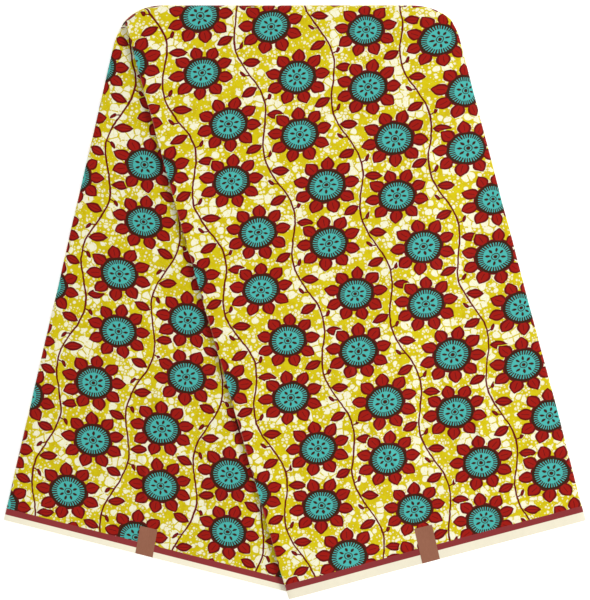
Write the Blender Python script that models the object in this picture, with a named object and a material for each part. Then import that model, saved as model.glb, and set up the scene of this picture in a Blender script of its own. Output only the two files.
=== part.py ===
"""A length of wax-print cotton, folded to and fro into a strip, and the strip folded once across.

Metres, +Z up. The cloth lies flat: the fold across is at its +Y end, the front leaf runs down to the
right and lies on the back leaf, which runs down to the left. The origin is on the surface that the
cloth rests on, under the middle of its outline.
"""

import math
from collections import namedtuple

import bmesh
import bpy
from mathutils import Vector

COLLECTION = "ankara_fabric"

# The cloth: 5.49 m of it in folds as wide as the strip makes 18 layers
LAYER = 0.0003
LAYERS = 18
LEAF_THICKNESS = LAYER * LAYERS
GAP = 0.0003
WALL = 0.0012
FOLD_RADIUS = LEAF_THICKNESS + GAP / 2

# Near the fold the layers lie looser, so the cloth is thicker there
FOLD_PUFF = 1.25
PUFF_LENGTH = 0.40
TURN_RADIUS = FOLD_RADIUS * FOLD_PUFF

# The plan: the fold across is a level line, and each long edge leaves an end of it
FOLD_Y = 0.2965
FOLD_LEFT_X = -0.1709
FOLD_RIGHT_X = 0.1570
LEAF_LENGTH = 0.571
STRIP_WIDTH = 0.306

# lean is from straight down, towards +X. bow moves the middle of an edge along X.
Edge = namedtuple("Edge", "length lean_deg bow")
EDGES = {
    ("front", "left"): Edge(0.6157, 15.60, -0.0025),
    ("front", "right"): Edge(0.5315, 14.60, 0.0),
    ("back", "left"): Edge(0.5277, -13.15, 0.0),
    ("back", "right"): Edge(0.6078, -14.30, 0.0),
}
OUTER_EDGES = (("front", "right"), ("back", "left"))
BOW_SKEW = 0.7

# The rounded ends of the fold: run lies along the fold, drop along the outer edge
Corner = namedtuple("Corner", "fold_x run drop outer_leaf")
CORNERS = {
    "left": Corner(FOLD_LEFT_X, 0.0337, 0.0440, "back"),
    "right": Corner(FOLD_RIGHT_X, -0.0326, 0.0501, "front"),
}
CORNER_SPAN = 0.10
LEAVES_PART_AT = 0.62

# Beside the back leaf, the front leaf comes down to the surface over a slope
SLOPE_START = 0.010
SLOPE_WIDTH = 0.080

# The layers of a leaf, by their distance from the slit between the leaves
Stack = namedtuple("Stack", "inner outer")
OUTER_LAYERS = Stack(FOLD_RADIUS - WALL, FOLD_RADIUS)
INNER_LAYERS = Stack(GAP / 2, GAP / 2 + WALL)
HIDDEN_LAYERS = Stack(INNER_LAYERS.outer + GAP, OUTER_LAYERS.inner - GAP)

# How far each ply of a stack stays back from the outline, counted from the slit outwards.
# The rims lie together at the turn, and are this far back once that share of a leaf is past.
Ply = namedtuple("Ply", "side end")
SINGLE_PLY = (Ply(0.0000, 0.0000),)
LOWEST_PLY = (Ply(0.0004, 0.0006),)
HIDDEN_PLIES = (
    Ply(0.0010, 0.0004),
    Ply(0.0004, 0.0016),
    Ply(0.0012, 0.0009),
)
RIMS_SPREAD_BY = 0.03

# A ply's rim, from the crease below it, over its belly, to the crease above it
PLY_SHARES = (0.0, 0.28, 0.72, 1.0)
PLY_STEPS = len(PLY_SHARES) - 1
CREASE = 0.0004

# How finely the leaves are divided. A row power over 1 crowds the rows towards the fold.
Grid = namedtuple("Grid", "rows row_power")
FRONT_GRID = Grid(15, 1.25)
BACK_GRID = Grid(8, 1.80)
COLUMNS = 17
EDGE_CROWDING = 0.55
TURN_STEPS = 6
SMOOTH_UNDER_DEG = 40.0

# The labels lie over the selvedge: shares of the strip's width, and the length in metres
Label = namedtuple("Label", "leaf start end length")
LABELS = {
    "front_label": Label("front", 0.449, 0.505, 0.035),
    "back_label": Label("back", 0.446, 0.503, 0.028),
}
LABEL_THICKNESS = 0.0005
LABEL_COLUMNS = 2
LABEL_ROWS = 3

# Colours are linear, and each is the mean of what its piece shows
Finish = namedtuple("Finish", "colour roughness")
FINISHES = {
    "front_leaf": Finish((0.42, 0.19, 0.05), 0.75),
    "back_leaf": Finish((0.42, 0.17, 0.05), 0.75),
    "front_leaf_hidden_layers": Finish((0.34, 0.14, 0.04), 0.85),
    "back_leaf_hidden_layers": Finish((0.34, 0.12, 0.04), 0.85),
    "front_leaf_underside": Finish((0.38, 0.16, 0.05), 0.80),
    "back_leaf_underside": Finish((0.36, 0.15, 0.05), 0.80),
    "front_label": Finish((0.32, 0.14, 0.08), 0.60),
    "back_label": Finish((0.32, 0.14, 0.08), 0.60),
}


def mix(first, second, share):
    """The value or point that lies share of the way from first to second."""
    return first + (second - first) * share


def smooth_step(share):
    """0 to 1 with level ends."""
    share = min(max(share, 0.0), 1.0)
    return share * share * (3.0 - 2.0 * share)


def fold_end(side):
    """The sharp corner that the rounded end of the fold is cut from."""
    return Vector((CORNERS[side].fold_x, FOLD_Y))


def direction(leaf, side):
    """The way a long edge runs, away from the fold."""
    lean = math.radians(EDGES[leaf, side].lean_deg)
    return Vector((math.sin(lean), -math.cos(lean)))


def strip_direction(leaf):
    """The way a leaf runs, midway between its long edges."""
    return (direction(leaf, "left") + direction(leaf, "right")).normalized()


def bottom_corner(leaf, side):
    """The corner of a leaf at its selvedge end."""
    return fold_end(side) + direction(leaf, side) * EDGES[leaf, side].length


def rounded_end(side, share):
    """A point on the rounded end of the fold: share 0 on the fold, 1 on the outer edge."""
    corner = CORNERS[side]
    along_fold = Vector((corner.run, 0.0)) * (1.0 - share) ** 2
    along_edge = direction(corner.outer_leaf, side) * corner.drop * share**2
    return fold_end(side) + along_fold + along_edge


def crown(s):
    """The outline of the fold, from where the leaves part at the left, s 0, to the right, s 1."""
    if s < CORNER_SPAN:
        return rounded_end("left", LEAVES_PART_AT * (1.0 - s / CORNER_SPAN))
    if s > 1.0 - CORNER_SPAN:
        return rounded_end("right", LEAVES_PART_AT * (1.0 - (1.0 - s) / CORNER_SPAN))
    straight = (s - CORNER_SPAN) / (1.0 - 2.0 * CORNER_SPAN)
    return mix(rounded_end("left", 0.0), rounded_end("right", 0.0), straight)


def leaf_start(leaf, s):
    """Where the turn over the fold ends and the flat of a leaf starts."""
    return crown(s) + strip_direction(leaf) * TURN_RADIUS


def edge_point(leaf, side, t):
    """A long edge of the flat of a leaf, from the fold, t 0, to the selvedge, t 1."""
    edge = EDGES[leaf, side]
    if (leaf, side) not in OUTER_EDGES:
        straight = mix(leaf_start(leaf, 0.0 if side == "left" else 1.0), bottom_corner(leaf, side), t)
        return straight + Vector((edge.bow * math.sin(math.pi * t**BOW_SKEW), 0.0))
    corner = CORNERS[side]
    start = corner.drop * LEAVES_PART_AT**2 + TURN_RADIUS
    along = mix(start, edge.length, t)
    inset = corner.run * (1.0 - math.sqrt(min(along / corner.drop, 1.0))) ** 2
    return fold_end(side) + direction(leaf, side) * along + Vector((inset, 0.0))


def leaf_plan(leaf, s, t):
    """A point of a leaf in plan: s runs across it and t from the fold to the selvedge."""
    left, right = edge_point(leaf, "left", t), edge_point(leaf, "right", t)
    left_chord = mix(edge_point(leaf, "left", 0.0), edge_point(leaf, "left", 1.0), t)
    right_chord = mix(edge_point(leaf, "right", 0.0), edge_point(leaf, "right", 1.0), t)
    bottom = mix(bottom_corner(leaf, "left"), bottom_corner(leaf, "right"), s)
    ruled = mix(leaf_start(leaf, s), bottom, t)
    return ruled + mix(left - left_chord, right - right_chord, s)


def puff(point):
    """How much thicker the cloth is at a point in plan than where it is pressed flat."""
    return mix(FOLD_PUFF, 1.0, smooth_step((FOLD_Y - point.y) / PUFF_LENGTH))


def slit_height(point):
    """The height of the front leaf's lower face, less half a gap, at a point in plan."""
    along = direction("back", "right")
    across = Vector((-along.y, along.x))
    past_edge = (point - leaf_start("back", 1.0)).dot(across)
    fallen = smooth_step((past_edge - SLOPE_START) / SLOPE_WIDTH)
    return mix(FOLD_RADIUS, -GAP / 2, fallen)


def turn_point(s, angle, radius):
    """A point of the turn over the fold: angle 90 degrees on the front leaf, -90 on the back."""
    front, back = leaf_start("front", s), leaf_start("back", s)
    middle = (front + back) / 2
    reach = (crown(s) - middle) * radius / FOLD_RADIUS * math.cos(angle)
    plan = middle + reach + (front - back) / 2 * math.sin(angle)
    return Vector((plan.x, plan.y, (FOLD_RADIUS + radius * math.sin(angle)) * FOLD_PUFF))


def flat_point(leaf, s, t, radius):
    """A point of the flat of a leaf, radius away from the slit."""
    plan = leaf_plan(leaf, s, t)
    height = slit_height(plan) + radius if leaf == "front" else FOLD_RADIUS - radius
    return Vector((plan.x, plan.y, height * puff(plan)))


def column_share(column):
    """How far across the strip a column is. The columns crowd towards both long edges."""
    even = column / COLUMNS
    crowded = 0.5 - 0.5 * math.cos(math.pi * even)
    return mix(even, crowded, EDGE_CROWDING)


def ply_level(stack, plies, level):
    """The radius and the ply of a level, and how far its crease draws the rim in."""
    index = min(level // PLY_STEPS, len(plies) - 1)
    step = level - index * PLY_STEPS
    thickness = (stack.outer - stack.inner) / len(plies)
    radius = stack.inner + (index + PLY_SHARES[step]) * thickness
    drawn_in = CREASE if step in (0, PLY_STEPS) else 0.0
    return radius, plies[index], drawn_in


def cell_box(columns, rows, levels):
    """A box cut at every whole number, so that each point is a column, a row and a level."""
    mesh = bmesh.new()
    bmesh.ops.create_cube(mesh, size=1.0)
    counts = (columns, rows, levels)
    for vert in mesh.verts:
        vert.co = Vector([(place + 0.5) * count for place, count in zip(vert.co, counts)])
    for axis, count in enumerate(counts):
        normal = Vector([float(axis == other) for other in range(3)])
        for cut in range(1, count):
            everything = mesh.verts[:] + mesh.edges[:] + mesh.faces[:]
            bmesh.ops.bisect_plane(mesh, geom=everything, plane_co=normal * cut, plane_no=normal)
    return mesh


def split_along_slope(mesh):
    """Splits each face of the top and bottom the same way, along the slope beside the back leaf."""
    for face in list(mesh.faces):
        if len({round(vert.co.z) for vert in face.verts}) > 1:
            continue
        corners = sorted(face.verts, key=lambda vert: vert.co.x - vert.co.y)
        bmesh.utils.face_split(face, corners[0], corners[-1])


def add_piece(name, mesh, place):
    """Moves each point of a cell box to its place and makes the named object."""
    for vert in mesh.verts:
        column, row, level = (round(value) for value in vert.co)
        vert.co = place(column, row, level)
    if mesh.calc_volume(signed=True) < 0.0:
        bmesh.ops.reverse_faces(mesh, faces=mesh.faces[:])
    data = bpy.data.meshes.new(name)
    mesh.to_mesh(data)
    mesh.free()
    piece = bpy.data.objects.new(name, data)
    bpy.data.collections[COLLECTION].objects.link(piece)
    data.materials.append(make_material(name))
    data.shade_smooth()
    data.set_sharp_from_angle(angle=math.radians(SMOOTH_UNDER_DEG))
    return piece


def make_material(name):
    """A plain material in the piece's mean colour."""
    finish = FINISHES[name]
    material = bpy.data.materials.new(name)
    material.use_nodes = True
    shader = material.node_tree.nodes["Principled BSDF"]
    shader.inputs["Base Color"].default_value = (*finish.colour, 1.0)
    shader.inputs["Roughness"].default_value = finish.roughness
    shader.inputs["Metallic"].default_value = 0.0
    return material


def layers(name, leaf, grid, stack, plies):
    """One stack of layers of a leaf. On the front leaf it includes the turn over the fold."""
    turn_rows = TURN_STEPS if leaf == "front" else 0

    def place(column, row, level):
        radius, ply, drawn_in = ply_level(stack, plies, level)
        if row < turn_rows:
            return turn_point(column_share(column), math.pi * (row / turn_rows - 0.5), radius)
        t = ((row - turn_rows) / grid.rows) ** grid.row_power
        side = (ply.side + drawn_in) / STRIP_WIDTH * min(t / RIMS_SPREAD_BY, 1.0)
        s = mix(side, 1.0 - side, column_share(column))
        start = 0.0 if leaf == "front" else GAP / LEAF_LENGTH
        end = 1.0 - (ply.end + drawn_in) / LEAF_LENGTH
        return flat_point(leaf, s, mix(start, end, t), radius)

    mesh = cell_box(COLUMNS, turn_rows + grid.rows, len(plies) * PLY_STEPS)
    split_along_slope(mesh)
    return add_piece(name, mesh, place)


def label(name):
    """A thin label on the top of a leaf, made from the leaf's points and moved out from it."""
    shape = LABELS[name]
    on_front = shape.leaf == "front"
    face = OUTER_LAYERS.outer if on_front else INNER_LAYERS.inner
    outwards = 1.0 if on_front else -1.0

    def place(column, row, level):
        s = mix(shape.start, shape.end, column / LABEL_COLUMNS)
        t = 1.0 - shape.length / LEAF_LENGTH * (1.0 - row / LABEL_ROWS)
        radius = face + outwards * (GAP + LABEL_THICKNESS * level)
        return flat_point(shape.leaf, s, t, radius)

    return add_piece(name, cell_box(LABEL_COLUMNS, LABEL_ROWS, 1), place)


def build():
    """Clears the scene and makes every piece."""
    for old in list(bpy.data.objects):
        bpy.data.objects.remove(old, do_unlink=True)
    collection = bpy.data.collections.new(COLLECTION)
    bpy.context.scene.collection.children.link(collection)
    layers("front_leaf", "front", FRONT_GRID, OUTER_LAYERS, SINGLE_PLY)
    layers("front_leaf_hidden_layers", "front", FRONT_GRID, HIDDEN_LAYERS, HIDDEN_PLIES)
    layers("front_leaf_underside", "front", FRONT_GRID, INNER_LAYERS, LOWEST_PLY)
    layers("back_leaf", "back", BACK_GRID, INNER_LAYERS, SINGLE_PLY)
    layers("back_leaf_hidden_layers", "back", BACK_GRID, HIDDEN_LAYERS, HIDDEN_PLIES)
    layers("back_leaf_underside", "back", BACK_GRID, OUTER_LAYERS, LOWEST_PLY)
    for name in LABELS:
        label(name)


build()
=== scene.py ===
# %% [markdown]
# Ankara fabric, folded flat
#
# A length of wax-print cotton is pleated to and fro into a flat strip, and the strip is folded once
# across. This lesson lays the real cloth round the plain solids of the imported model: first its
# folds in section, then its way along the leaves and over the top, and then the print, drawn from
# formulas alone.

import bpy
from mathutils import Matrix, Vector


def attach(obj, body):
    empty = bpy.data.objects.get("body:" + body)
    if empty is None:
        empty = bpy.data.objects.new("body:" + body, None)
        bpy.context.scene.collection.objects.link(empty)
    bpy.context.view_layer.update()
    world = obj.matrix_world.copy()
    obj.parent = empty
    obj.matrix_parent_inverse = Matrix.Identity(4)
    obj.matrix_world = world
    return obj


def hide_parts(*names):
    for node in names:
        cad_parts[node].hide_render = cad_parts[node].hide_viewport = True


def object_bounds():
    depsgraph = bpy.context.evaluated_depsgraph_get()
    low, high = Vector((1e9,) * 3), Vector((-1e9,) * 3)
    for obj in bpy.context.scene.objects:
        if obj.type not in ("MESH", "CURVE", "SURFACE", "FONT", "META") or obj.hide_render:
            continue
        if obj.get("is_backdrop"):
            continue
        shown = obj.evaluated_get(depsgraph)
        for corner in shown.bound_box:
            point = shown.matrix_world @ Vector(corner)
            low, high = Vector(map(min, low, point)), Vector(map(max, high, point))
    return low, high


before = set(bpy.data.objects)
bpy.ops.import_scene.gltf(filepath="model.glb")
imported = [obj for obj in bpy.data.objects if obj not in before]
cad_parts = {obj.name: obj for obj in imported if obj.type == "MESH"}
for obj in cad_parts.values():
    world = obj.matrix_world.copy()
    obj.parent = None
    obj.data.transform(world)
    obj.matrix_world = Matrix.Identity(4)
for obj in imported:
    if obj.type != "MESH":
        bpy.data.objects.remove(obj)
cad_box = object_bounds()
print("packed nodes:", sorted(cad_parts))

# %% Blender's modules
import math
from collections import namedtuple

import bmesh
import bpy
from mathutils import Vector, noise

scene = bpy.context.scene

# %% [markdown]
# The cloth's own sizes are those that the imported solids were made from: 18 layers of 0.3 mm in each
# leaf, a hair's gap between the leaves, and a fold left a little loose. Metres of cotton could be
# simulated, but pressed pleats hardly move, so the layers are placed by rule, where the solids say.

# %% Sizes of the cloth, in metres
MM = 0.001
LAYER = 0.0003
LAYERS = 18
CLOTH_THICKNESS = 0.00024
GAP = 0.0003
FOLD_RADIUS = LAYER * LAYERS + GAP / 2
FOLD_PUFF = 1.25
PUFF_LENGTH = 0.40
TURN_RADIUS = FOLD_RADIUS * FOLD_PUFF
STRIP_WIDTH = 0.306
LEAF_LENGTH = 0.571
print(f"a leaf is {LAYER * LAYERS / MM:.1f} mm thick, the turn {2 * TURN_RADIUS / MM:.1f} mm high")

# %% [markdown]
# The outline is a fan of two leaves. Each long edge leaves an end of the level fold at its own
# lean, and the ends of the fold are rounded, because a thick pack of cloth can't turn on a sharp
# point. The cloth may lie a little proud of its solids, and does so by up to 3 mm at the ends of
# the fold.

# %% The outline of the two leaves
# bow is how far a long edge bends sideways. run and drop are how far a corner's rounding reaches
# along the fold and down the outer edge.
FOLD_Y = 0.2970
Edge = namedtuple("Edge", "length lean_deg bow")
EDGES = {
    ("front", "left"): Edge(0.6169, 15.62, -0.0025),
    ("front", "right"): Edge(0.5331, 14.77, 0.0),
    ("back", "left"): Edge(0.5287, -13.06, 0.0),
    ("back", "right"): Edge(0.6089, -14.23, 0.0),
}
BOW_SKEW = 0.7
Corner = namedtuple("Corner", "fold_x run drop outer_leaf")
CORNERS = {
    "left": Corner(-0.1712, 0.0408, 0.0441, "back"),
    "right": Corner(0.1563, -0.0416, 0.0359, "front"),
}
CORNER_SPAN = 0.12
LEAVES_PART_AT = 0.60


def mix(first, second, share):
    """The value or point that lies share of the way from first to second."""
    return first + (second - first) * share


def smooth_step(share):
    """0 to 1 with level ends."""
    share = min(max(share, 0.0), 1.0)
    return share * share * (3.0 - 2.0 * share)


def fold_end(side):
    return Vector((CORNERS[side].fold_x, FOLD_Y))


def direction(leaf, side):
    """The way a long edge runs, away from the fold."""
    lean = math.radians(EDGES[leaf, side].lean_deg)
    return Vector((math.sin(lean), -math.cos(lean)))


def bottom_corner(leaf, side):
    return fold_end(side) + direction(leaf, side) * EDGES[leaf, side].length


for leaf in ("front", "back"):
    width = (bottom_corner(leaf, "right") - bottom_corner(leaf, "left")).length
    print(f"{leaf} leaf: {width / MM:.0f} mm wide at the selvedge")

# %% The fold and the flat of a leaf, seen from above
STRIP_DIRECTION = {
    leaf: (direction(leaf, "left") + direction(leaf, "right")).normalized()
    for leaf in ("front", "back")
}


def rounded_end(side, share):
    """A point on the rounded end of the fold: share 0 on the fold, 1 on the outer edge."""
    corner = CORNERS[side]
    along_fold = Vector((corner.run, 0.0)) * (1.0 - share) ** 2
    along_edge = direction(corner.outer_leaf, side) * corner.drop * share**2
    return fold_end(side) + along_fold + along_edge


def crown(s):
    """The outline of the fold, from where the leaves part at the left, s 0, to the right, s 1."""
    if s < CORNER_SPAN:
        return rounded_end("left", LEAVES_PART_AT * (1.0 - s / CORNER_SPAN))
    if s > 1.0 - CORNER_SPAN:
        return rounded_end("right", LEAVES_PART_AT * (1.0 - (1.0 - s) / CORNER_SPAN))
    straight = (s - CORNER_SPAN) / (1.0 - 2.0 * CORNER_SPAN)
    return mix(rounded_end("left", 0.0), rounded_end("right", 0.0), straight)


def outer_edge(side, along):
    """A point of an outer edge, at a distance along it from the corner that is rounded off."""
    corner = CORNERS[side]
    inset = corner.run * (1.0 - math.sqrt(min(along / corner.drop, 1.0))) ** 2
    return fold_end(side) + direction(corner.outer_leaf, side) * along + Vector((inset, 0.0))


# How far down its outer edge a leaf's flat starts, and how far that is from the end of the turn.
FLAT_START = {
    side: corner.drop * LEAVES_PART_AT**2 + TURN_RADIUS for side, corner in CORNERS.items()
}
OUTWARDS = {
    leaf: outer_edge(side, FLAT_START[side]) - crown(end) - STRIP_DIRECTION[leaf] * TURN_RADIUS
    for leaf, side, end in (("front", "right", 1.0), ("back", "left", 0.0))
}


def leaf_start(leaf, s):
    """Where the turn over the fold ends and the flat starts. Its outer end is on the outline."""
    from_end = 1.0 - s if leaf == "front" else s
    outwards = OUTWARDS[leaf] * smooth_step(1.0 - from_end / CORNER_SPAN)
    return crown(s) + STRIP_DIRECTION[leaf] * TURN_RADIUS + outwards


def edge_point(leaf, side, t):
    """A long edge of the flat of a leaf, from the fold, t 0, to the selvedge, t 1."""
    edge = EDGES[leaf, side]
    if leaf == CORNERS[side].outer_leaf:
        return outer_edge(side, mix(FLAT_START[side], edge.length, t))
    start = leaf_start(leaf, 0.0 if side == "left" else 1.0)
    straight = mix(start, bottom_corner(leaf, side), t)
    return straight + Vector((edge.bow * math.sin(math.pi * t**BOW_SKEW), 0.0))


def leaf_plan(leaf, s, t):
    """A point of a leaf from above: s runs across it and t from the fold to the selvedge."""
    def off_chord(side):
        chord = mix(edge_point(leaf, side, 0.0), edge_point(leaf, side, 1.0), t)
        return edge_point(leaf, side, t) - chord

    bottom = mix(bottom_corner(leaf, "left"), bottom_corner(leaf, "right"), s)
    return mix(leaf_start(leaf, s), bottom, t) + mix(off_chord("left"), off_chord("right"), s)


print("the fold's ends:", *crown(0.0), "and", *crown(1.0))

# %% [markdown]
# Heights follow from what each layer lies on. The back leaf lies on the table. The front leaf lies
# on it, and comes down to the table beside it over a soft slope. A layer is known by its distance
# from the slit between the leaves, so one rule serves both: the outermost layer of the front leaf
# is on top, and goes round the fold to lie under the back leaf.

# %% Heights of the layers
SLOPE_START = 0.010
SLOPE_WIDTH = 0.080


def puff(point):
    """How much thicker the cloth is than where it is pressed flat."""
    return mix(FOLD_PUFF, 1.0, smooth_step((FOLD_Y - point.y) / PUFF_LENGTH))


def slit_height(point):
    """The height of the front leaf's lower face, less half a gap."""
    along = direction("back", "right")
    across = Vector((-along.y, along.x))
    past_edge = (point - leaf_start("back", 1.0)).dot(across)
    return mix(FOLD_RADIUS, -GAP / 2, smooth_step((past_edge - SLOPE_START) / SLOPE_WIDTH))


def turn_point(s, angle, radius):
    """A point of the turn over the fold: angle 90 degrees on the front leaf, -90 on the back."""
    front, back = leaf_start("front", s), leaf_start("back", s)
    middle = (front + back) / 2
    reach = (crown(s) - middle) * radius / FOLD_RADIUS * math.cos(angle)
    plan = middle + reach + (front - back) / 2 * math.sin(angle)
    return Vector((plan.x, plan.y, (FOLD_RADIUS + radius * math.sin(angle)) * FOLD_PUFF))


print(f"over the back leaf the front leaf's top is {2 * FOLD_RADIUS / MM:.1f} mm up")

# %% [markdown]
# No pressed cloth is quite flat. A few short creases stand up on the faces that show, where the top
# layer is slack, and the undersides are dented. The faces rise and fall by a fraction of a
# millimetre, and the pack thins towards its folded edges. Displacement in the material would leave
# the mesh a flat board. So the points themselves move, and the layers under a broad hollow give way
# with it, each by its share of the way up the pack.

# %% Creases, swells and thin edges
Crease = namedtuple("Crease", "start end bend height width")
# In millimetres, from the middle of the outline. bend bows a crease sideways, and one of negative
# height is a dent.
CREASES = {
    "front top": (
        Crease((179, -110), (188, -147), 1.5, 2.60, 2.3),
        Crease((52, -50), (63, -82), -1.5, 2.20, 2.3),
        Crease((69, -115), (107, -173), 3.0, 2.80, 2.5),
        Crease((125, -178), (129, -199), 0.8, 2.00, 2.2),
        Crease((31, 188), (48, 152), -2.0, 0.80, 3.4),
        Crease((118, 60), (131, 12), 2.5, 0.70, 3.8),
    ),
    "back top": (
        Crease((-151, -148), (-150, -213), 1.2, 2.40, 2.4),
        Crease((-136, -90), (-140, -116), 0.8, 1.70, 2.3),
        Crease((-186, 10), (-178, -30), -1.8, 0.80, 3.2),
    ),
    "back under": (
        Crease((-40, 120), (-66, 40), 3.0, -0.60, 3.0),
        Crease((-120, -60), (-131, -118), -1.6, -0.55, 2.6),
        Crease((20, -20), (4, -64), 1.4, -0.50, 2.8),
    ),
    "front under": (
        Crease((150, 40), (168, -24), -2.4, -0.55, 3.0),
        Crease((196, -92), (207, -136), 1.4, -0.50, 2.4),
    ),
}
CREASE_SOFTNESS = 1.6
CREASE_TAPER = 0.7
SWELL = 0.0006
SWELL_SIZE = 0.085
RIPPLE = 0.00018
RIPPLE_SIZE = 0.028
EDGE_DROP = 0.0007
EDGE_REACH = 0.0060


def crease_height(side, point):
    """How far the creases of one side of a leaf lift its face. They fade at both ends."""
    total = 0.0
    for crease in CREASES[side]:
        start, end = Vector(crease.start) * MM, Vector(crease.end) * MM
        along = (point - start).dot(end - start) / (end - start).length_squared
        if not 0.0 < along < 1.0:
            continue
        way = (end - start).normalized()
        sideways = Vector((-way.y, way.x))
        middle = mix(start, end, along) + sideways * crease.bend * MM * math.sin(math.pi * along)
        off = abs((point - middle).dot(sideways)) / (crease.width * MM)
        taper = math.sin(math.pi * along) ** CREASE_TAPER
        total += crease.height * MM * taper * math.exp(-off ** CREASE_SOFTNESS)
    return total


SIDE_SEEDS = {"front top": 1.7, "back top": 5.3, "back under": 9.1, "front under": 12.9}


def waves(point, size, seed):
    """Soft noise from 0 to 1, whose waves are about size long."""
    flat = Vector((point.x, point.y, 0.0))
    return 0.5 + 0.5 * noise.noise(flat / size + Vector((0.0, 0.0, seed)))


def hollow(side, point, fine):
    """How far a face lies below its highest, or above its lowest on an underside."""
    swell = waves(point, SWELL_SIZE, SIDE_SEEDS[side]) * SWELL
    if not fine:
        return swell
    ripple = waves(point, RIPPLE_SIZE, SIDE_SEEDS[side]) * RIPPLE
    return swell + ripple - crease_height(side, point)


heights = [crease.height for creases in CREASES.values() for crease in creases]
print(f"{len(heights)} creases, the tallest {max(heights):.2f} mm")

# %% [markdown]
# A place on the cloth is given by a spot in its section and a row along the leaf. The section says
# how far across the strip the spot is and on which layer, where 0 is the outermost. The long edges
# of real pleats wander by half a millimetre, and the hidden layers waver a little more, two by two.

# %% From a spot on the cloth to its place in space
# cloth is how far along the section a spot is. A row's angle is None on the flat of a leaf.
Spot = namedtuple("Spot", "across layer cloth")
Row = namedtuple("Row", "angle t")
FIRST_HIDDEN, LAST_HIDDEN = 2, LAYERS - 3
SETTLES_BY = 0.05
WANDER = 0.0008
WANDER_LENGTH = 0.090
OWN_WANDER = 0.0004
OWN_WANDER_LENGTH = 0.035
WANDER_REACH = 0.060
PAIR_SHIFT, PAIR_SEED = 0.25, 3.7
HALF_STACK = (LAYERS - 1) / 2
INNER_SQUEEZE = 0.76
SQUEEZE_START = 0.004
SQUEEZE_REACH = 0.014


def pair_number(layer, outwards):
    """Which pair a hidden layer wavers in: 2 and 3 are one at the left, 3 and 4 at the right."""
    if FIRST_HIDDEN - 0.5 < layer < LAST_HIDDEN + 0.5:
        return round(layer / 2 + PAIR_SHIFT * outwards)
    return 0


def strayed(leaf, spot, t):
    """How far the waver of the two long edges moves a spot across the strip."""
    moved = 0.0
    along = t * LEAF_LENGTH
    for side, inwards in (("left", spot.across), ("right", STRIP_WIDTH - spot.across)):
        outwards = -1.0 if side == "left" else 1.0
        own_seed = pair_number(spot.layer, outwards) * PAIR_SEED
        seed = Vector((0.0, EDGES[leaf, side].lean_deg, 0.0))
        shared = noise.noise(Vector((along / WANDER_LENGTH, 0.0, 0.0)) + seed)
        own = noise.noise(Vector((along / OWN_WANDER_LENGTH, 0.0, own_seed)) + seed)
        near = smooth_step(1.0 - inwards / WANDER_REACH)
        moved += outwards * near * (shared * WANDER + own * OWN_WANDER)
    return moved


def squeezed(layer, inwards):
    """The layers inside the pack lie closer together than their folded edges do."""
    share = smooth_step((inwards - SQUEEZE_START) / SQUEEZE_REACH)
    return HALF_STACK + (layer - HALF_STACK) * mix(1.0, INNER_SQUEEZE, share)


def cloth_point(leaf, row, spot, inner=False):
    """Where a spot of the cloth lies. inner is for the layers between, whose faces don't show."""
    s = spot.across / STRIP_WIDTH
    inwards = min(spot.across, STRIP_WIDTH - spot.across)
    layer = squeezed(spot.layer, inwards) if inner else spot.layer
    radius = FOLD_RADIUS - (layer + 0.5) * LAYER
    if row.angle is not None:
        return turn_point(s, row.angle, radius)
    settled = smooth_step(row.t / SETTLES_BY)
    plan = leaf_plan(leaf, s + strayed(leaf, spot, row.t) * settled / STRIP_WIDTH, row.t)
    height = slit_height(plan) + radius if leaf == "front" else FOLD_RADIUS - radius
    up = radius / FOLD_RADIUS if leaf == "front" else 1.0 - radius / FOLD_RADIUS
    edge = EDGE_DROP * max(1.0 - inwards / EDGE_REACH, 0.0) ** 2
    above = hollow(leaf + " top", plan, not inner) + edge
    below = hollow(leaf + " under", plan, not inner)
    height = height * puff(plan) + settled * ((1.0 - up) * below - up * above)
    return Vector((plan.x, plan.y, height))


middle_spot = Spot(STRIP_WIDTH / 2, 0.0, 0.0)
print("middle of the front leaf:", tuple(cloth_point("front", Row(None, 0.5), middle_spot)))

# %% [markdown]
# In section, pleated cloth is one line that runs across the strip, turns round a tight fold, and
# comes back a layer lower. A drawn curve would do for the shape, but the print also needs a map of
# the cloth's length. A list of spots, built from runs, gives both.

# %% The section of the cloth
Run = namedtuple("Run", "layer start end shares")
FOLD_STEPS = 6
BEND = LAYER / 2


def even_shares(count):
    """Shares from 0 to 1 in equal steps."""
    return [step / count for step in range(count + 1)]


def crowded(count, crowding):
    """Even shares, drawn towards both ends."""
    return [
        mix(share, 0.5 - 0.5 * math.cos(math.pi * share), crowding) for share in even_shares(count)
    ]


def section_of(runs):
    """Spots along each run and round the folds between, each with its place along the cloth."""
    places = []
    for index, run in enumerate(runs):
        heading = math.copysign(1.0, run.end - run.start)
        start = run.start + heading * BEND * (index > 0)
        end = run.end - heading * BEND * (index < len(runs) - 1)
        places += [(mix(start, end, share), float(run.layer)) for share in run.shares]
        if index < len(runs) - 1:
            after = runs[index + 1].layer
            for step in range(1, FOLD_STEPS):
                angle = math.pi * step / FOLD_STEPS
                layer = mix(run.layer, after, 0.5 - 0.5 * math.cos(angle))
                places.append((end + heading * BEND * math.sin(angle), layer))
    spots, cloth = [], 0.0
    for index, (across, layer) in enumerate(places):
        if index:
            before = places[index - 1]
            cloth += math.hypot(across - before[0], (layer - before[1]) * LAYER)
        spots.append(Spot(across, layer, cloth))
    return spots


# %% [markdown]
# A sheet is a grid whose columns are the spots and whose rows go along the leaf. Its points move to
# their places, and a Solidify modifier gives the cotton its thickness. Its map holds real metres,
# across the cloth and up from the selvedge, so the print has its true scale on every piece and goes
# round the folds.

# %% Laying a sheet
CLOTH_MAP = "cloth"
FOLD_DISTANCE = "from the long edge"
MOST_STRETCH = 0.005
HALF_GRID = 0.5


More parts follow.
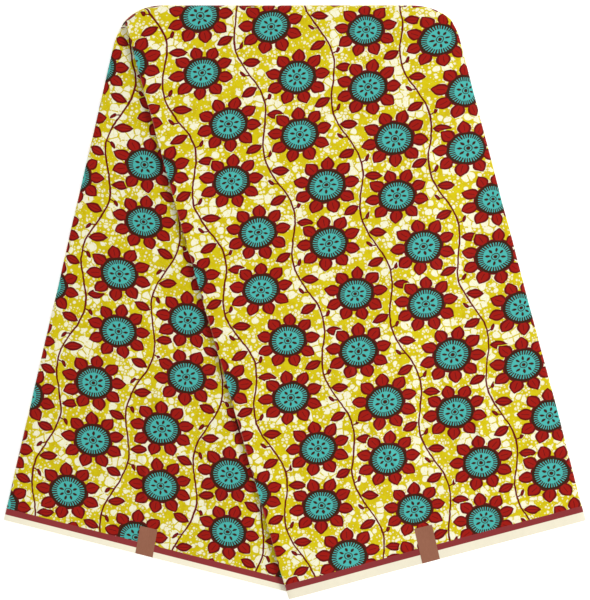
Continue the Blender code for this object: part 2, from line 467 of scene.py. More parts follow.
def move_grid(mesh, section, rows, place, reach=None):
    """Moves the points of a grid to their places, and maps the cloth onto them. reach is how much
    of the cloth each column takes, for a piece whose print goes on from another's."""
    points = [[place(row, spot) for spot in section] for row in rows]
    from_selvedge = [[0.0] * len(section) for _ in rows]
    for index in reversed(range(len(rows) - 1)):
        for column in range(len(section)):
            step = (points[index][column] - points[index + 1][column]).length
            from_selvedge[index][column] = from_selvedge[index + 1][column] + step
    longest = max(from_selvedge[0])
    for column, length in enumerate(reach or ()):
        stretch = length / from_selvedge[0][column]
        stretch = min(max(stretch, 1.0 - MOST_STRETCH), 1.0 + MOST_STRETCH)
        for row in from_selvedge:
            row[column] *= stretch
    cloth = {}
    inwards = mesh.verts.layers.float.new(FOLD_DISTANCE)
    for vert in mesh.verts:
        column = round((vert.co.x + HALF_GRID) * (len(section) - 1))
        index = round((vert.co.y + HALF_GRID) * (len(rows) - 1))
        vert.co = points[index][column]
        cloth[vert] = (section[column].cloth, from_selvedge[index][column])
        vert[inwards] = min(section[column].across, STRIP_WIDTH - section[column].across)
    layer = mesh.loops.layers.uv.new(CLOTH_MAP)
    for face in mesh.faces:
        for loop in face.loops:
            loop[layer].uv = cloth[loop.vert]
    return longest


def sheet_piece(name, section, rows, place, thickness, reach=None):
    """A grid laid out as a sheet, with its thickness. Returns the piece and its length."""
    mesh = bmesh.new()
    columns, steps = len(section) - 1, len(rows) - 1
    bmesh.ops.create_grid(mesh, x_segments=columns, y_segments=steps, size=HALF_GRID)
    length = move_grid(mesh, section, rows, place, reach)
    for edge in mesh.edges:
        edge.smooth = not edge.is_boundary
    data = bpy.data.meshes.new(name)
    mesh.to_mesh(data)
    mesh.free()
    data.shade_smooth()
    piece = bpy.data.objects.new(name, data)
    scene.collection.objects.link(piece)
    wall = piece.modifiers.new("cloth thickness", "SOLIDIFY")
    wall.thickness = thickness
    wall.offset = 0.0
    print(f"{name}: {len(data.polygons)} faces before its thickness, {length:.3f} m long")
    return piece, length


# %% [markdown]
# The print needs many small formulas: distances to petals, leaves and bubbles. Wired by hand, each
# sum is a node and two links. A small class lets the sums be written as sums, and makes the nodes.

# %% Sums that make nodes
class Field:
    """A number that changes from place to place on the cloth: the output of a node."""

    def __init__(self, socket):
        self.socket = socket
        self.tree = socket.id_data

    def __add__(self, other):
        return work_out("ADD", self, other)

    def __sub__(self, other):
        return work_out("SUBTRACT", self, other)

    def __rsub__(self, other):
        return work_out("SUBTRACT", other, self)

    def __mul__(self, other):
        return work_out("MULTIPLY", self, other)

    def __truediv__(self, other):
        return work_out("DIVIDE", self, other)

    __radd__, __rmul__ = __add__, __mul__


def feed(socket, value):
    """Links a field to a socket, or sets a plain value on it."""
    if isinstance(value, Field):
        value.tree.links.new(value.socket, socket)
    else:
        socket.default_value = value


def feed_all(node, inputs):
    """Feeds the inputs of a node, each known by its name or number."""
    for name, value in inputs.items():
        feed(node.inputs[name], value)


def new_node(tree, kind, inputs, output=0, **settings):
    """Makes a node, feeds it and returns one of its outputs."""
    node = tree.nodes.new("ShaderNode" + kind)
    for name, value in settings.items():
        setattr(node, name, value)
    feed_all(node, inputs)
    return Field(node.outputs[output])


def work_out(operation, *values, clamp=False):
    """One Math node."""
    tree = next(value.tree for value in values if isinstance(value, Field))
    inputs = dict(enumerate(values))
    return new_node(tree, "Math", inputs, operation=operation, use_clamp=clamp)


def least(*values):
    """The least of several fields."""
    found = values[0]
    for value in values[1:]:
        found = work_out("MINIMUM", found, value)
    return found


def most(first, second):
    return work_out("MAXIMUM", first, second)


def size_of(value):
    return work_out("ABSOLUTE", value)


def cosine(angle):
    return work_out("COSINE", angle)


# %% Pairs, patterns and paint
# The sockets of a Mix node that mixes colours.
MIX_FACTOR, MIX_UNDER, MIX_OVER, MIX_RESULT = 0, 6, 7, 2
PRINT_BLEED = 0.35
CELL_DISORDER = 0.85


def pair(x, y):
    """A vector from two fields."""
    return new_node(x.tree, "CombineXYZ", {0: x, 1: y})


def parts(vector):
    """The first two parts of a vector."""
    first = new_node(vector.tree, "SeparateXYZ", {0: vector})
    return first, Field(first.socket.node.outputs[1])


def stretched(vector, x, y):
    """A vector with each part multiplied."""
    inputs = {0: vector, 1: (x, y, 1.0)}
    return new_node(vector.tree, "VectorMath", inputs, operation="MULTIPLY")


def cloud(vector, size, detail=2.0, output="Fac"):
    """Soft noise, whose blots are about size across: from 0 to 1, and mostly near a half."""
    inputs = {"Vector": vector, "Scale": 1.0 / size, "Detail": detail}
    return new_node(vector.tree, "TexNoise", inputs, output, noise_dimensions="2D")


def cells(vector, size, feature):
    """The distance from a feature of Voronoi cells about size across, as a share of size."""
    inputs = {"Vector": vector, "Scale": 1.0 / size, "Randomness": CELL_DISORDER}
    return new_node(
        vector.tree, "TexVoronoi", inputs, "Distance", voronoi_dimensions="2D", feature=feature
    )


def from_cell_edge(vector, size):
    return cells(vector, size, "DISTANCE_TO_EDGE") * size


def from_cell_middle(vector, size):
    """The distance from a cell's middle, and a random number of the cell's own."""
    share = cells(vector, size, "F1")
    return share * size, parts(Field(share.socket.node.outputs["Color"]))[0]


def chance(vector):
    """A random number from 0 to 1 that goes with a vector."""
    inputs = {"Vector": vector}
    return new_node(vector.tree, "TexWhiteNoise", inputs, "Value", noise_dimensions="2D")


def inside(distance, bleed=PRINT_BLEED):
    """1 where a distance is below 0, with the soft edge of dye in cotton."""
    return work_out("SUBTRACT", 0.5, distance / bleed, clamp=True)


def paint(under, over, mask):
    """Colour or field over another where the mask is 1."""
    inputs = {MIX_FACTOR: mask, MIX_UNDER: under, MIX_OVER: over}
    return new_node(mask.tree, "Mix", inputs, MIX_RESULT, data_type="RGBA")


def dye(red, green, blue):
    """A colour as a screen shows it, from 0 to 255, in Blender's linear numbers."""
    def linear(value):
        """The curve of an ordinary screen, undone."""
        value /= 255.0
        return value / 12.92 if value <= 0.04045 else ((value + 0.055) / 1.055) ** 2.4
    return (linear(red), linear(green), linear(blue), 1.0)


# %% [markdown]
# Wax prints have a warm ground full of bubbles, where the hot wax kept the dye off. An image of a
# cloth would be the short way, but it fixes the size and holds someone's photo. Here each bubble is
# a round spot in the middle of a Voronoi cell. Where a slow cloud says much wax, the spots swell
# until only thin walls part them. The design on the ground is a plain one of our own: columns of
# open flowers with leafy tendrils between them.

# %% The colours of the dyes
YELLOW = dye(212, 195, 0)
DEEP_YELLOW = dye(203, 181, 0)
PALE_YELLOW = dye(221, 205, 44)
CREAM = dye(243, 240, 210)
RED = dye(155, 18, 4)
MAROON = dye(104, 3, 4)
TEAL = dye(72, 178, 170)
BROWN = dye(56, 27, 7)
# The selvedge cream is set bright for the back leaf, whose selvedge gets less of the lamp, and the
# other pieces paint shade over it.
SELVEDGE_CREAM = dye(245, 237, 212)
SELVEDGE_BAND = dye(142, 50, 52)
WOBBLE, WOBBLE_SIZE = 2.2, 16.0
TREMBLE, TREMBLE_SIZE = 0.7, 3.5


def hand_drawn(vector):
    """The design's own coordinates, a little out of true, as lines cut by hand are."""
    for amount, size in ((WOBBLE, WOBBLE_SIZE), (TREMBLE, TREMBLE_SIZE)):
        inputs = {0: cloud(vector, size, output="Color"), 1: (amount, amount, 0.0), 2: vector}
        vector = new_node(vector.tree, "VectorMath", inputs, operation="MULTIPLY_ADD")
    return vector


# %% The bubbled ground
Bubbles = namedtuple("Bubbles", "cell wall wax wax_size luck least_radius")
LARGE = Bubbles(8.6, 0.60, 14.0, 24.0, 3.2, -6.6)
SMALL = Bubbles(3.7, 0.40, 4.4, 10.0, 1.5, -2.2)
SMALL_STRENGTH = 0.9
BLOTCH, BLOTCH_FROM, BLOTCH_CONTRAST = 7.0, 0.25, 2.5
CRACKLE_CELL, CRACKLE_WIDTH, CRACKLE_SQUEEZE, CRACKLE_STRENGTH = 4.6, 0.14, 0.7, 0.5


def bubbles(vector, kind):
    """The distance to the nearest bubble, below 0 inside it. The print is made in millimetres."""
    middle, luck = from_cell_middle(vector, kind.cell)
    wax = cloud(vector, kind.wax_size, detail=1.0)
    radius = kind.least_radius + kind.wax * wax + kind.luck * luck
    return most(middle - radius, kind.wall - from_cell_edge(vector, kind.cell))


def bubbled_ground(vector):
    """Yellow with cream bubbles, where cracked wax has let fine threads of dye through."""
    blotch = cloud(vector, BLOTCH) - BLOTCH_FROM
    yellow = paint(DEEP_YELLOW, YELLOW, work_out("MULTIPLY", blotch, BLOTCH_CONTRAST, clamp=True))
    ground = paint(yellow, CREAM, inside(bubbles(vector, SMALL)) * SMALL_STRENGTH)
    ground = paint(ground, CREAM, inside(bubbles(vector, LARGE)))
    crackle = from_cell_edge(stretched(vector, 1.0, CRACKLE_SQUEEZE), CRACKLE_CELL)
    return paint(ground, PALE_YELLOW, inside(crackle - CRACKLE_WIDTH) * CRACKLE_STRENGTH)


# %% [markdown]
# The flowers stand in columns, 76 mm apart, and each column starts half a step lower than the last.
# Folding the angle round a flower's middle into one slice lets a single petal's formula draw all
# nine. Every shape is a distance in millimetres, below 0 inside, so an outline is a band of
# distances just inside the edge, and a halo is a band outside.

# %% Flowers
COLUMN_PITCH, FLOWER_PITCH = 76.0, 56.0
DROP = FLOWER_PITCH / 2
SWAY = 6.0
DRAWN_WIDE, DRAWN_LOW = 1.10, 0.95
SIZE_SPREAD = 0.07
Petal = namedtuple("Petal", "middle half_length half_width")
PETALS, PETAL = 9, Petal(21.5, 8.1, 6.2)
COLLAR, RING, FRINGE, HEART = 18.1, 16.7, 14.3, 10.3
STROKES, STROKE_SIZE, STROKE_GAP = 36, 0.75, 0.22
SEEDS, SEED = 8, Petal(6.7, 2.4, 1.2)
PIP, PIP_RING, PIP_LINE = 1.8, 3.2, 0.4
VEIN_START, VEIN_END, VEIN_WIDTH = 18.4, 25.0, 0.32


def lens(along, aside, shape):
    """The distance to a pointed petal that lies along one axis."""
    way = (along - shape.middle) / shape.half_length
    return size_of(aside) - shape.half_width * (1.0 - way * way)


def slice_of(radius, angle, count):
    """A place folded into one of count equal slices: along its middle line, and aside from it."""
    folded = work_out("PINGPONG", angle, math.pi / count)
    return radius * cosine(folded), radius * work_out("SINE", folded)


def flower(u, v):
    """The distances of the nearest flower's petals, their veins, its ring, heart and dark marks."""
    column = work_out("ROUND", u / COLUMN_PITCH)
    along = v - column * DROP
    row = work_out("ROUND", along / FLOWER_PITCH)
    luck = chance(pair(column, row))
    size = 1.0 - SIZE_SPREAD / 2 + SIZE_SPREAD * luck
    x = (u - column * COLUMN_PITCH - SWAY * cosine(row * math.pi)) / (size * DRAWN_WIDE)
    y = (along - row * FLOWER_PITCH) / (size * DRAWN_LOW)
    radius = work_out("SQRT", x * x + y * y)
    angle = work_out("ARCTAN2", y, x) + luck * math.tau + math.tau
    length, aside = slice_of(radius, angle, PETALS)
    petals = least(lens(length, aside, PETAL), radius - COLLAR)
    vein_middle, vein_half = (VEIN_START + VEIN_END) / 2, (VEIN_END - VEIN_START) / 2
    vein = most(size_of(aside) - VEIN_WIDTH, size_of(length - vein_middle) - vein_half)
    stroke = most(cosine(angle * STROKES) * STROKE_SIZE + STROKE_GAP, radius - FRINGE)
    heart = least(radius - HEART, stroke)
    seeds = lens(*slice_of(radius, angle, SEEDS), SEED)
    marks = least(seeds, radius - PIP, size_of(radius - PIP_RING) - PIP_LINE)
    return petals, vein, radius - RING, heart, marks


# %% [markdown]
# A tendril runs down between two columns. Its leaves grow to either side by turns, with budding
# twigs between them, and all of it gives way near a petal.

# %% Tendrils, leaves and buds
TENDRIL_SWAY, TENDRIL_LAG = 7.0, 14.0
TENDRIL_WIDTH = 0.9
LEAF_PITCH = 28.0
LEAF_TILT = math.radians(-14.0)
LEAF = Petal(10.0, 9.0, 4.7)
TWIG_LENGTH, TWIG_WIDTH, TWIG_CURL, BUD = 6.4, 0.7, 0.06, 2.6
CLEAR = 1.3


def tendril(u, v, petals):
    """The distances of the stems and leaves, both kept clear of the petals, and of the ribs."""
    column = work_out("FLOOR", u / COLUMN_PITCH)
    x = u - column * COLUMN_PITCH
    along = v - column * DROP

    def way(place):
        sway = cosine((place - TENDRIL_LAG) * (math.pi / FLOWER_PITCH))
        return COLUMN_PITCH / 2 + TENDRIL_SWAY * sway

    number = work_out("ROUND", along / LEAF_PITCH)
    root = number * LEAF_PITCH
    out = (x - way(root)) * cosine(number * math.pi)
    down = along - root
    length = out * math.cos(LEAF_TILT) + down * math.sin(LEAF_TILT)
    aside = down * math.cos(LEAF_TILT) - out * math.sin(LEAF_TILT)
    rib = most(size_of(aside) - VEIN_WIDTH, size_of(length - LEAF.middle) - LEAF.half_length)
    step = work_out("FLOOR", along / LEAF_PITCH)
    twig_root = (step + 0.5) * LEAF_PITCH
    twig_out = (x - way(twig_root)) * cosine(step * math.pi)
    twig_down = along - twig_root - twig_out * twig_out * TWIG_CURL
    past_end = size_of(twig_out - TWIG_LENGTH / 2) - TWIG_LENGTH / 2
    twig = most(size_of(twig_down) - TWIG_WIDTH, past_end)
    beyond = twig_out - TWIG_LENGTH
    bud = work_out("SQRT", beyond * beyond + twig_down * twig_down) - BUD
    # Above 0 at every fourth step, where it leaves the twig out.
    left_out = (0.5 + work_out("SINE", step * (math.pi / 2))) * -TWIG_LENGTH
    twig, bud = most(twig, left_out), most(bud, left_out)
    stems = least(size_of(x - way(along)) - TENDRIL_WIDTH, twig)
    room = CLEAR - petals
    leaves = least(lens(length, aside, LEAF), bud)
    return most(stems, room), most(leaves, room), rib


# %% [markdown]
# The print is painted from the ground up, as a dyer works, in one group of nodes for all pieces of
# the cloth. The selvedge goes on last, a cream edge with a dark red band beside it.

# %% The whole print
OUTLINE = 2.05
HALO, HALO_SIZE, HALO_SPREAD, HALO_START = 2.2, 12.0, 3.2, 1.85
HALO_STRENGTH = 0.9
SELVEDGE_WIDTH, BAND_WIDTH = 8.9, 6.2


def shape_over(under, distance, fill):
    """A filled shape with its maroon outline."""
    body = paint(under, MAROON, inside(distance))
    return paint(body, fill, inside(distance + OUTLINE))


def make_print():
    """The node group that draws the print, from a place in metres and its way to the selvedge."""
    tree = bpy.data.node_groups.new("ankara print", "ShaderNodeTree")
    tree.interface.new_socket("Place", in_out="INPUT", socket_type="NodeSocketVector")
    tree.interface.new_socket("From selvedge", in_out="INPUT", socket_type="NodeSocketFloat")
    tree.interface.new_socket("Colour", in_out="OUTPUT", socket_type="NodeSocketColor")
    given = tree.nodes.new("NodeGroupInput")
    spot = stretched(Field(given.outputs[0]), 1.0 / MM, 1.0 / MM)
    drawn = hand_drawn(spot)
    u, v = parts(drawn)
    petals, vein, ring, heart, marks = flower(u, v)
    stems, leaves, rib = tendril(u, v, petals)
    halo_width = HALO * (cloud(spot, HALO_SIZE, detail=1.0) * HALO_SPREAD - HALO_START)
    halo = least(petals, stems, leaves) - halo_width
    colour = paint(bubbled_ground(drawn), CREAM, inside(halo) * HALO_STRENGTH)
    colour = paint(colour, MAROON, inside(stems))
    colour = shape_over(colour, leaves, RED)
    colour = paint(colour, MAROON, inside(most(rib, leaves)))
    colour = shape_over(colour, petals, RED)
    colour = paint(colour, MAROON, inside(most(vein, petals)))
    colour = paint(colour, BROWN, inside(ring))
    colour = paint(colour, TEAL, inside(heart))
    colour = paint(colour, BROWN, inside(marks))
    from_selvedge = Field(given.outputs[1]) * (1.0 / MM)
    colour = paint(colour, SELVEDGE_BAND, inside(from_selvedge - SELVEDGE_WIDTH - BAND_WIDTH))
    colour = paint(colour, SELVEDGE_CREAM, inside(from_selvedge - SELVEDGE_WIDTH))
    result = tree.nodes.new("NodeGroupOutput")
    feed(result.inputs[0], colour)
    return tree


ankara_print = make_print()
print(f"the print takes {len(ankara_print.nodes)} nodes")

# %% [markdown]
# Cotton is the print's paper. Its threads are 0.36 mm apart and make a fine bump, with a thicker
# thread here and there. The dye takes unevenly and is rubbed a little pale along the folded edges,
# and starch gives a faint shine. Threads this fine would cost millions of faces in the mesh, and a
# bump looks the same. The back leaf's cloth is measured from its own selvedge, which is the
# narrower of the cloth's two, so its print is turned round.

# %% The weave
THREAD = 0.00036
OVER_UNDER = 0.35
SLUB_WIDTH, SLUB_SLIMNESS = THREAD * 1.5, 0.03


def new_material(name):
    """A material and its shader."""
    material = bpy.data.materials.new(name)
    material.use_nodes = True
    return material, material.node_tree.nodes["Principled BSDF"]


def add_bump(shader, height, distance, strength=1.0):
    """Tilts the light on a surface as a field of heights would."""
    inputs = {"Height": height, "Distance": distance, "Strength": strength}
    feed(shader.inputs["Normal"], new_node(height.tree, "Bump", inputs))


def threads(place):
    """The height of the weave: over and under, with slubs in both directions."""
    u, v = parts(place)
    over = cosine(u * (math.tau / THREAD)) * cosine(v * (math.tau / THREAD))
    warp = cloud(stretched(place, 1.0, SLUB_SLIMNESS), SLUB_WIDTH, detail=1.0)
    weft = cloud(stretched(place, SLUB_SLIMNESS, 1.0), SLUB_WIDTH, detail=1.0)
    return over * OVER_UNDER + warp + weft


# %% The cotton
BUMP_HEIGHT, BUMP_STRENGTH = 0.00005, 0.6
MOTTLE, MOTTLE_SIZE = 0.09, 0.045
SPECKLE, SPECKLE_SIZE = 0.05, 0.006
WEAVE_SHADE, SHADE_FROM = 0.03, 0.08
ROUGH, ROUGH_SPREAD, ROUGH_SIZE = 0.62, 0.16, 0.020
SHEEN, SHINE = 0.03, 0.10
WORN, WORN_WIDTH, WORN_DETAIL = 0.20, 0.0012, 4.0
NARROWER = 0.0032
# Painted shade: how much darker a piece's selvedge and the rest of its print are painted. The back
# leaf's print is painted as if less lit, and the other pieces' selvedges darker.
PaintedShade = namedtuple("PaintedShade", "selvedge rest")
SHADED_SELVEDGE, SHADED_PRINT = PaintedShade(0.08, 0.0), PaintedShade(0.0, 0.035)
BLACK = (0.0, 0.0, 0.0, 1.0)


def cotton(name, full_length=None, painted_shade=SHADED_SELVEDGE, start=0.0):
    """Printed cotton. full_length, the whole width of the weave, turns the design round for a back
    leaf, and start shifts it sideways. painted_shade is painted shade: how much darker the selvedge
    and the rest are painted, to even out the light between the leaves."""
    material, shader = new_material(name)
    tree = material.node_tree
    on_cloth = new_node(tree, "UVMap", {}, uv_map=CLOTH_MAP)
    place = new_node(tree, "Mapping", {
        "Vector": on_cloth,
        "Location": (start, full_length or 0.0, 0.0),
        "Scale": (1.0, -1.0 if full_length else 1.0, 1.0),
    })
    from_selvedge = parts(on_cloth)[1] + (NARROWER if full_length else 0.0)
    inputs = {"Place": place, "From selvedge": from_selvedge}
    printed = new_node(tree, "Group", inputs, node_tree=ankara_print)
    weave = threads(place)
    shade = cloud(place, MOTTLE_SIZE) * MOTTLE + cloud(place, SPECKLE_SIZE) * SPECKLE
    shade = shade + weave * WEAVE_SHADE
    # Painted shade, added to the darkening: one amount on the selvedge, another on the rest.
    beyond_band = work_out("GREATER_THAN", from_selvedge, (SELVEDGE_WIDTH + BAND_WIDTH) * MM)
    shade = shade + beyond_band * (painted_shade.rest - painted_shade.selvedge) + painted_shade.selvedge
    shade = work_out("SUBTRACT", shade, SHADE_FROM, clamp=True)
    dyed = paint(printed, BLACK, shade)
    from_fold = new_node(tree, "Attribute", {}, "Fac", attribute_name=FOLD_DISTANCE)
    rubbed = work_out("SUBTRACT", 1.0, from_fold / WORN_WIDTH, clamp=True)
    rubbed = rubbed * cloud(place, ROUGH_SIZE, detail=WORN_DETAIL) * WORN
    feed_all(shader, {
        "Base Color": paint(dyed, CREAM, rubbed),
        "Roughness": ROUGH + ROUGH_SPREAD * (cloud(place, ROUGH_SIZE) - 0.5),
        "Sheen Weight": SHEEN,
        "Specular IOR Level": SHINE,
    })
    add_bump(shader, weave, BUMP_HEIGHT, BUMP_STRENGTH)
    return material


print(f"threads {THREAD / MM:.2f} mm apart, worn within {WORN_WIDTH / MM:.1f} mm of a folded edge")

# %% [markdown]
# The front leaf is the stretch that shows most: the outermost layer, from its selvedge up to the
# fold and over it. Its long edges are folds, so the sheet turns under on both sides. It ends where
# it has come round to the underside, and the back leaf's own piece takes over.

# %% Rows along a leaf
TURN_ROWS = 16
# The back leaf's own rows start just past the end of the turn.
JOIN = 0.0001


def leaf_rows(leaf, count, turn_rows=TURN_ROWS):
    """Rows from the far end of the fold, or from the start of the back leaf, to the selvedge."""
    if leaf == "back":
        return [Row(None, mix(JOIN, 1.0, share)) for share in even_shares(count)]
    turn = [Row(math.pi * (index / turn_rows - 0.5), 0.0) for index in range(turn_rows)]
    return turn + [Row(None, share) for share in even_shares(count)]


HEM = 0.012
HEM_SHARES = even_shares(4)
CROWDING = 0.3


def covering(outermost, columns):
    """The section of a sheet that shows, with both long edges turned under."""
    layer, under = (0, 1) if outermost else (LAYERS - 1, LAYERS - 2)
    return section_of([
        Run(under, HEM, 0.0, HEM_SHARES),
        Run(layer, 0.0, STRIP_WIDTH, crowded(columns, CROWDING)),
        Run(under, STRIP_WIDTH, STRIP_WIDTH - HEM, HEM_SHARES),
    ])


def cloth_sheet(name, leaf, section, count, reach=None):
    """One stretch of the cloth, with count rows along the leaf."""
    def place(row, spot):
        return cloth_point(leaf, row, spot)
    return sheet_piece(name, section, leaf_rows(leaf, count), place, CLOTH_THICKNESS, reach)


# %% The front leaf
FINE_COLUMNS, FINE_ROWS = 184, 205
top_section = covering(True, FINE_COLUMNS)
front_leaf, length = cloth_sheet("front_leaf_cloth", "front", top_section, FINE_ROWS)
front_leaf.data.materials.append(cotton("front leaf cotton"))
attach(front_leaf, "root")
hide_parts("front_leaf")
top_section[-1].cloth * LEAF_LENGTH

# %% [markdown]
# The back leaf shows its innermost layer, because the strip was folded over with that layer inside.
# It is the same sheet turned round: the section starts from the slit between the leaves.

# %% The back leaf
FULL_LENGTH = 1.1424
INNER_SHORTER = 0.0085
INNER_LENGTH = FULL_LENGTH - INNER_SHORTER
slit_section = covering(False, FINE_COLUMNS)
back_leaf, length = cloth_sheet("back_leaf_cloth", "back", slit_section, FINE_ROWS)
back_leaf.data.materials.append(cotton("back leaf cotton", INNER_LENGTH, SHADED_PRINT))
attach(back_leaf, "root")
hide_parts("back_leaf")
slit_section[-1].cloth * LEAF_LENGTH

# %% [markdown]
# The undersides are seen when the pack is picked up. The back leaf's is the outermost layer again,
# and the front leaf's goes tightly round the slit. They bend less, so a coarser grid holds them.
# The print runs on under the fold, so each column of the back leaf's is told how much of the
# cloth's width the front leaf has left for it.

# %% The undersides
PLAIN_COLUMNS, PLAIN_ROWS = 96, 170
OUTER_LENGTH = FULL_LENGTH + math.pi * FOLD_RADIUS * FOLD_PUFF - 2 * TURN_RADIUS


def cloth_taken(leaf, section):
    """How much cloth each spot of a section takes, along all the rows."""
    rows = leaf_rows(leaf, PLAIN_ROWS)
    lines = [[cloth_point(leaf, row, spot) for row in rows] for spot in section]
    return [sum((after - before).length for before, after in zip(line, line[1:])) for line in lines]


under_section = covering(True, PLAIN_COLUMNS)
left_for_back = [OUTER_LENGTH - taken for taken in cloth_taken("front", under_section)]
back_under, length = cloth_sheet(
    "back_underside_cloth", "back", under_section, PLAIN_ROWS, left_for_back
)
print(f"the fold leaves {min(left_for_back):.3f} to {max(left_for_back):.3f} m of the width")
back_under.data.materials.append(cotton("back underside cotton", OUTER_LENGTH))
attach(back_under, "root")
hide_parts("back_leaf_underside")
under_section[-1].cloth * LEAF_LENGTH
inner_section = covering(False, PLAIN_COLUMNS)
front_under, length = cloth_sheet("front_underside_cloth", "front", inner_section, PLAIN_ROWS)
front_under.data.materials.append(cotton("front underside cotton"))
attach(front_under, "root")
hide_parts("front_leaf_underside")
inner_section[-1].cloth * LEAF_LENGTH

# %% [markdown]
# Between them lie fourteen layers of the same cloth, and only their folded edges and selvedges
# show. A block with lines on it would do from afar. Here it is the real thing, one sheet laid to
# and fro, with each fold a little further in or out than the last, as hands leave them.

# %% The layers between
EDGE_COLUMNS, MIDDLE_COLUMNS = 9, 13
EDGE_PART, EDGE_CROWDING = 0.11, 1.5
HIDDEN_ROWS, HIDDEN_TURN_ROWS = 50, 12
SETBACKS = (0.0009, 0.0021, 0.0004, 0.0014, 0.0007, 0.0024, 0.0011)
END_SETBACKS = (0.0012, 0.0004, 0.0019, 0.0008, 0.0026, 0.0015, 0.0006)


def hidden_shares():
    """Shares across a hidden layer, close together near both edges."""
    edge = [EDGE_PART * share**EDGE_CROWDING for share in even_shares(EDGE_COLUMNS)[:-1]]
    middle = [mix(EDGE_PART, 1.0 - EDGE_PART, share) for share in even_shares(MIDDLE_COLUMNS)]
    return edge + middle + [1.0 - share for share in reversed(edge)]


def pleats():
    """The section of the layers between, to and fro."""
    runs = []
    setback = SETBACKS[-1]
    for index, layer in enumerate(range(FIRST_HIDDEN, LAST_HIDDEN + 1)):
        after = SETBACKS[index % len(SETBACKS)]
        ends = (STRIP_WIDTH - setback, after) if index % 2 else (setback, STRIP_WIDTH - after)
        runs.append(Run(layer, *ends, hidden_shares()))
        setback = after
    return section_of(runs)


def end_setback(spot):
    """How far short of the outline a hidden layer's selvedge lies. It drifts between layers."""
    index = spot.layer - FIRST_HIDDEN
    low, high = (END_SETBACKS[(int(index) + step) % len(END_SETBACKS)] for step in (0, 1))
    return mix(low, high, smooth_step(index - int(index)))


def hidden_layers(name, leaf):
    """The hidden layers of one leaf, as one pleated sheet."""
    section = pleats()

    def place(row, spot):
        short = 1.0 - end_setback(spot) / LEAF_LENGTH
        return cloth_point(leaf, Row(row.angle, row.t * short), spot, inner=True)

    rows = leaf_rows(leaf, HIDDEN_ROWS, HIDDEN_TURN_ROWS)
    piece, length = sheet_piece(name, section, rows, place, CLOTH_THICKNESS)
    full = FULL_LENGTH if leaf == "back" else None
    start = STRIP_WIDTH * FIRST_HIDDEN
    piece.data.materials.append(cotton(name.replace("_", " "), full, start=start))
    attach(piece, "root")
    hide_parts(leaf + "_leaf_hidden_layers")
    wide = section[-1].cloth
    wide * LEAF_LENGTH


hidden_layers("front_hidden_layers", "front")
hidden_layers("back_hidden_layers", "back")

# %% [markdown]
# A small brown label lies over the selvedge of each leaf. It is stiff paper, left bare, and one
# corner has come up a little. It is made from the leaf's own points, moved out, so it follows the
# cloth.

# %% The paper of the labels
PAPER_BROWNS, PAPER_BLOTS = (dye(140, 88, 66), dye(156, 103, 80)), dye(130, 82, 60)
BLOT_SIZE, BLOT_STRENGTH = 0.009, 0.35
FIBRE_SIZE, FIBRE_SLIMNESS, FIBRE_DETAIL, FIBRE_BUMP = 0.0011, 0.25, 4.0, 0.00004
PAPER_ROUGH, PAPER_ROUGH_SPREAD, PAPER_SHINE = 0.55, 0.2, 0.2


def paper():
    """Bare brown paper: pressed fibres and a few darker blots."""
    material, shader = new_material("label paper")
    place = new_node(material.node_tree, "TexCoord", {}, "Object")
    fibres = cloud(stretched(place, 1.0, FIBRE_SLIMNESS), FIBRE_SIZE, detail=FIBRE_DETAIL)
    blots = cloud(place, BLOT_SIZE)
    brown = paint(*PAPER_BROWNS, fibres)
    feed_all(shader, {
        "Base Color": paint(brown, PAPER_BLOTS, blots * BLOT_STRENGTH),
        "Roughness": PAPER_ROUGH + PAPER_ROUGH_SPREAD * fibres,
        "Specular IOR Level": PAPER_SHINE,
    })
    add_bump(shader, fibres, FIBRE_BUMP)
    return material


# %% The labels
# start and end are shares of the strip's width, and so is turned, how far the upper end is moved.
# lifted is the upper corner that has come up.
Label = namedtuple("Label", "leaf start end length turned lifted")
LABELS = {
    "front_label_paper": Label("front", 0.449, 0.508, 0.0357, 0.0045, "right"),
    "back_label_paper": Label("back", 0.443, 0.501, 0.0287, -0.0055, "left"),
}
LABEL_THICKNESS = 0.00018
LABEL_LIFT, LIFTED_FROM = 0.0009, 0.4
LABEL_COLUMNS, LABEL_ROWS = 16, 22
# A label lies this many layers above its leaf's top one.
ABOVE = 0.95
ABOVE_TOP = {"front": -ABOVE, "back": LAYERS - 1 + ABOVE}


def make_label(name, label, material):
    """A label on the top of a leaf."""
    length = label.length / LEAF_LENGTH
    rows = [Row(None, 1.0 - length * (1.0 - share)) for share in even_shares(LABEL_ROWS)]
    section = [
        Spot(STRIP_WIDTH * mix(label.start, label.end, share), ABOVE_TOP[label.leaf], share)
        for share in even_shares(LABEL_COLUMNS)
    ]

    def place(row, spot):
        down = (row.t - rows[0].t) / (rows[-1].t - rows[0].t)
        across = spot.across + label.turned * STRIP_WIDTH * (1.0 - down)
        on_cloth = cloth_point(label.leaf, row, Spot(across, spot.layer, spot.cloth))
        aside = spot.cloth if label.lifted == "right" else 1.0 - spot.cloth
        towards = smooth_step(aside * (1.0 - down) * (1.0 + LIFTED_FROM) - LIFTED_FROM)
        return on_cloth + Vector((0.0, 0.0, LABEL_LIFT * towards))

    piece, _ = sheet_piece(name, section, rows, place, LABEL_THICKNESS)
    piece.data.materials.append(material)
    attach(piece, "root")
    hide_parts(name.replace("_paper", ""))


label_paper = paper()
for name, label in LABELS.items():
    make_label(name, label, label_paper)

# %% [markdown]
# The cloth is shown on a plain white light table, which glows a little, so the shadow stays faint.
# It is seen from straight above, under one broad lamp to the right and light from all round. A long
# lens keeps its near parts as small as its far ones.

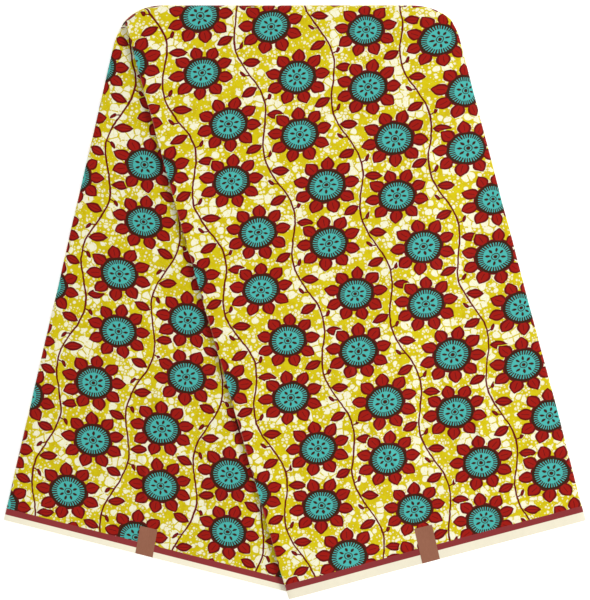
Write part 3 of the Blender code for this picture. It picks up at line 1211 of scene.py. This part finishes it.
# %% The table
FLOOR_SIZE = 12.0
WHITE, TABLE_WHITE = (1.0, 1.0, 1.0, 1.0), (0.98, 0.98, 0.98, 1.0)
TABLE_GLOW, TABLE_ROUGH, TABLE_SHINE = 0.45, 0.9, 0.1
bpy.ops.mesh.primitive_plane_add(size=FLOOR_SIZE)
floor = bpy.context.object
floor.name = "floor"
floor_material, floor_shader = new_material("light table")
feed_all(floor_shader, {
    "Base Color": TABLE_WHITE,
    "Roughness": TABLE_ROUGH,
    "Specular IOR Level": TABLE_SHINE,
    "Emission Color": WHITE,
    "Emission Strength": TABLE_GLOW,
})
floor.data.materials.append(floor_material)
floor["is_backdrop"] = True

# %% The light
SKY_STRENGTH = 0.745
LAMP_PLACE, LAMP_SIZE, LAMP_POWER = (2.45, 0.32, 2.2), 1.0, 59.0
world = bpy.data.worlds.new("soft studio")
scene.world = world
world.use_nodes = True
feed_all(world.node_tree.nodes["Background"], {"Color": WHITE, "Strength": SKY_STRENGTH})
lamp_data = bpy.data.lights.new("broad lamp", "AREA")
lamp_data.energy = LAMP_POWER
lamp_data.size = LAMP_SIZE
lamp = bpy.data.objects.new("broad lamp", lamp_data)
lamp.location = LAMP_PLACE
lamp.rotation_euler = (-Vector(LAMP_PLACE)).to_track_quat("-Z", "Y").to_euler()
scene.collection.objects.link(lamp)

# %% The camera
FRAME_HEIGHT = 0.600
FRAME_MIDDLE = (0.00085, 0.00215)
LENS = 180.0
SENSOR = 36.0
CLOTH_TOP = 0.008
camera_data = bpy.data.cameras.new("camera")
camera_data.lens = LENS
camera_data.sensor_width = SENSOR
camera = bpy.data.objects.new("camera", camera_data)
camera.location = (*FRAME_MIDDLE, FRAME_HEIGHT * LENS / SENSOR + CLOTH_TOP)
scene.collection.objects.link(camera)
scene.camera = camera
scene.view_settings.view_transform = "Standard"
print(f"the camera is {camera.location.z:.3f} m up")

# %% [markdown]
# Last, the cloth's size is set beside the imported model's. They should agree.

# %% Sizes, side by side
made_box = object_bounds()
for name, box in (("cad", cad_box), ("made", made_box)):
    print(name, "size", [round(value, 4) for value in box[1] - box[0]])
